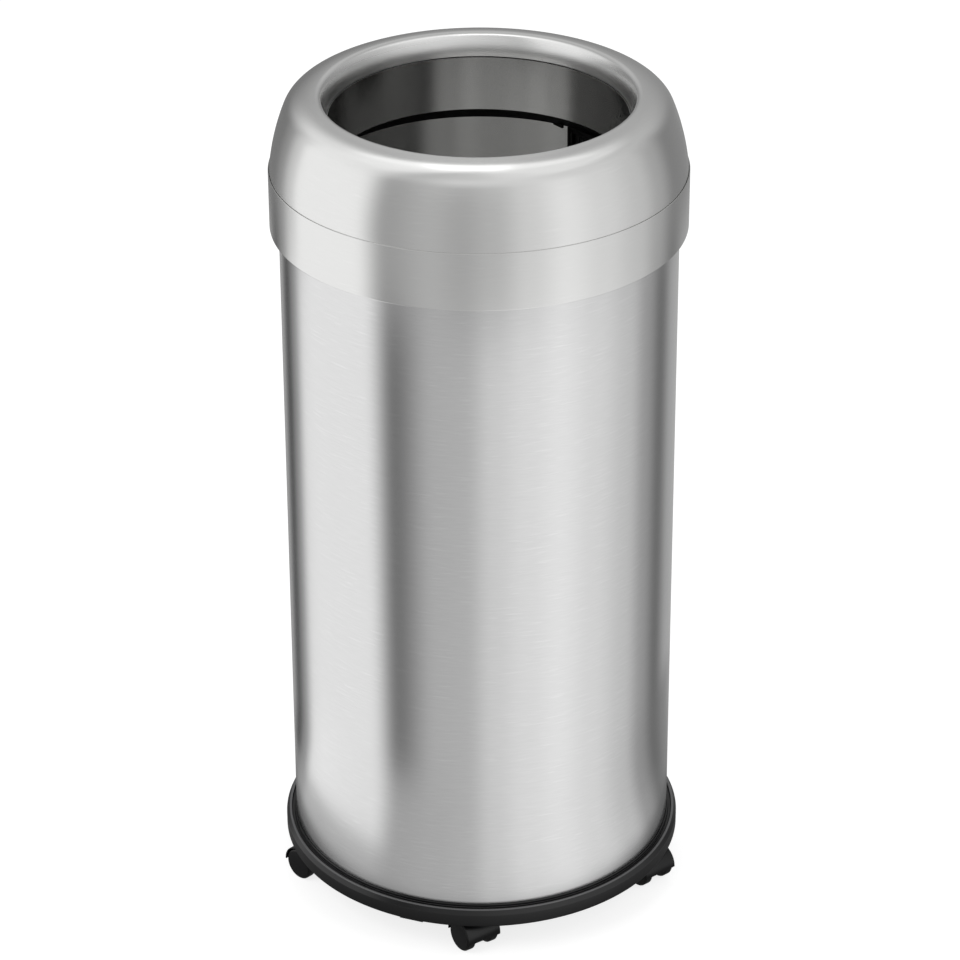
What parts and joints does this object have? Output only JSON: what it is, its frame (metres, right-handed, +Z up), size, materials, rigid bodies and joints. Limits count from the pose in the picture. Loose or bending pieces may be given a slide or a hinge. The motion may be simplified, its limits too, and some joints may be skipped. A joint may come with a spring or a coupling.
{
  "type": "open top trash can",
  "caption": "Round steel open-top trash can with a lift-off dome lid, odour filter pockets under the lid and a black base on swivel casters.",
  "frame": {"origin": "on the floor, on the can's upright axis, which is within a few millimetres of the middle of the box because the front caster stands proud of the base", "axes": "+Z up, -Y towards the viewer in the picture, +X to the viewer's right"},
  "size_m": [0.3866, 0.3882, 0.8104],
  "materials": {
    "brushed_steel": "brushed stainless steel, satin",
    "inner_steel": "brushed stainless steel, satin",
    "black_plastic": "moulded black plastic, satin",
    "black_nylon": "moulded black nylon",
    "zinc_plated_steel": "bright zinc plate",
    "carbon_felt": "black activated carbon felt"
  },
  "bodies": {
    "can": {"body_tube": "brushed_steel", "base_moulding": "black_plastic", "caster_1_sleeve": "zinc_plated_steel", "caster_2_sleeve": "zinc_plated_steel", "caster_3_sleeve": "zinc_plated_steel", "caster_4_sleeve": "zinc_plated_steel", "caster_5_sleeve": "zinc_plated_steel"},
    "lid": {"lid_dome": "brushed_steel", "lid_band": "brushed_steel", "mouth_collar": "inner_steel", "lid_frame": "black_plastic", "filter_pocket_right": "black_plastic", "filter_pin_right": "zinc_plated_steel", "filter_pad_right": "carbon_felt", "filter_pocket_left": "black_plastic", "filter_pin_left": "zinc_plated_steel", "filter_pad_left": "carbon_felt"},
    "cover_right": {"filter_cover_right": "black_plastic"},
    "cover_left": {"filter_cover_left": "black_plastic"},
    "caster_1": {"caster_1_stem": "zinc_plated_steel", "caster_1_hood": "black_nylon", "caster_1_axle": "zinc_plated_steel"},
    "caster_1_left": {"caster_1_wheel_left": "black_nylon"},
    "caster_1_right": {"caster_1_wheel_right": "black_nylon"},
    "caster_2": {"caster_2_stem": "zinc_plated_steel", "caster_2_hood": "black_nylon", "caster_2_axle": "zinc_plated_steel"},
    "caster_2_left": {"caster_2_wheel_left": "black_nylon"},
    "caster_2_right": {"caster_2_wheel_right": "black_nylon"},
    "caster_3": {"caster_3_stem": "zinc_plated_steel", "caster_3_hood": "black_nylon", "caster_3_axle": "zinc_plated_steel"},
    "caster_3_left": {"caster_3_wheel_left": "black_nylon"},
    "caster_3_right": {"caster_3_wheel_right": "black_nylon"},
    "caster_4": {"caster_4_stem": "zinc_plated_steel", "caster_4_hood": "black_nylon", "caster_4_axle": "zinc_plated_steel"},
    "caster_4_left": {"caster_4_wheel_left": "black_nylon"},
    "caster_4_right": {"caster_4_wheel_right": "black_nylon"},
    "caster_5": {"caster_5_stem": "zinc_plated_steel", "caster_5_hood": "black_nylon", "caster_5_axle": "zinc_plated_steel"},
    "caster_5_left": {"caster_5_wheel_left": "black_nylon"},
    "caster_5_right": {"caster_5_wheel_right": "black_nylon"}
  },
  "joints": [
    {"name": "lid_lift", "type": "slide", "parent": "can", "child": "lid", "axis": [0, 0, 1], "range_m": [0, 0.15]},
    {"name": "cover_right_hinge", "type": "hinge", "parent": "lid", "child": "cover_right", "pos_m": [0.11662, 0.09786, 0.6925], "axis": [0.6428, -0.766, 0], "range_deg": [0, 95]},
    {"name": "cover_left_hinge", "type": "hinge", "parent": "lid", "child": "cover_left", "pos_m": [-0.11662, -0.09786, 0.6925], "axis": [-0.6428, 0.766, 0], "range_deg": [0, 95]},
    {"name": "caster_1_swivel", "type": "hinge", "parent": "can", "child": "caster_1", "pos_m": [-0.00542, -0.17261, 0.0339], "axis": [0, 0, 1], "continuous": true},
    {"name": "caster_1_left_spin", "type": "hinge", "parent": "caster_1", "child": "caster_1_left", "pos_m": [-0.00712, -0.17014, 0.0159], "axis": [-0.8251, -0.565, 0], "continuous": true},
    {"name": "caster_1_right_spin", "type": "hinge", "parent": "caster_1", "child": "caster_1_right", "pos_m": [-0.00712, -0.17014, 0.0159], "axis": [-0.8251, -0.565, 0], "continuous": true},
    {"name": "caster_2_swivel", "type": "hinge", "parent": "can", "child": "caster_2", "pos_m": [0.16249, -0.0585, 0.0339], "axis": [0, 0, 1], "continuous": true},
    {"name": "caster_2_left_spin", "type": "hinge", "parent": "caster_2", "child": "caster_2_left", "pos_m": [0.16439, -0.06082, 0.0159], "axis": [0.7749, 0.632, 0], "continuous": true},
    {"name": "caster_2_right_spin", "type": "hinge", "parent": "caster_2", "child": "caster_2_right", "pos_m": [0.16439, -0.06082, 0.0159], "axis": [0.7749, 0.632, 0], "continuous": true},
    {"name": "caster_3_swivel", "type": "hinge", "parent": "can", "child": "caster_3", "pos_m": [0.10585, 0.13646, 0.0339], "axis": [0, 0, 1], "continuous": true},
    {"name": "caster_3_left_spin", "type": "hinge", "parent": "caster_3", "child": "caster_3_left", "pos_m": [0.1077, 0.1341, 0.0159], "axis": [0.788, 0.6157, 0], "continuous": true},
    {"name": "caster_3_right_spin", "type": "hinge", "parent": "caster_3", "child": "caster_3_right", "pos_m": [0.1077, 0.1341, 0.0159], "axis": [0.788, 0.6157, 0], "continuous": true},
    {"name": "caster_4_swivel", "type": "hinge", "parent": "can", "child": "caster_4", "pos_m": [-0.09707, 0.14284, 0.0339], "axis": [0, 0, 1], "continuous": true},
    {"name": "caster_4_left_spin", "type": "hinge", "parent": "caster_4", "child": "caster_4_left", "pos_m": [-0.09522, 0.14047, 0.0159], "axis": [0.788, 0.6157, 0], "continuous": true},
    {"name": "caster_4_right_spin", "type": "hinge", "parent": "caster_4", "child": "caster_4_right", "pos_m": [-0.09522, 0.14047, 0.0159], "axis": [0.788, 0.6157, 0], "continuous": true},
    {"name": "caster_5_swivel", "type": "hinge", "parent": "can", "child": "caster_5", "pos_m": [-0.16584, -0.04818, 0.0339], "axis": [0, 0, 1], "continuous": true},
    {"name": "caster_5_left_spin", "type": "hinge", "parent": "caster_5", "child": "caster_5_left", "pos_m": [-0.16796, -0.04606, 0.0159], "axis": [-0.7071, -0.7071, 0], "continuous": true},
    {"name": "caster_5_right_spin", "type": "hinge", "parent": "caster_5", "child": "caster_5_right", "pos_m": [-0.16796, -0.04606, 0.0159], "axis": [-0.7071, -0.7071, 0], "continuous": true}
  ]
}
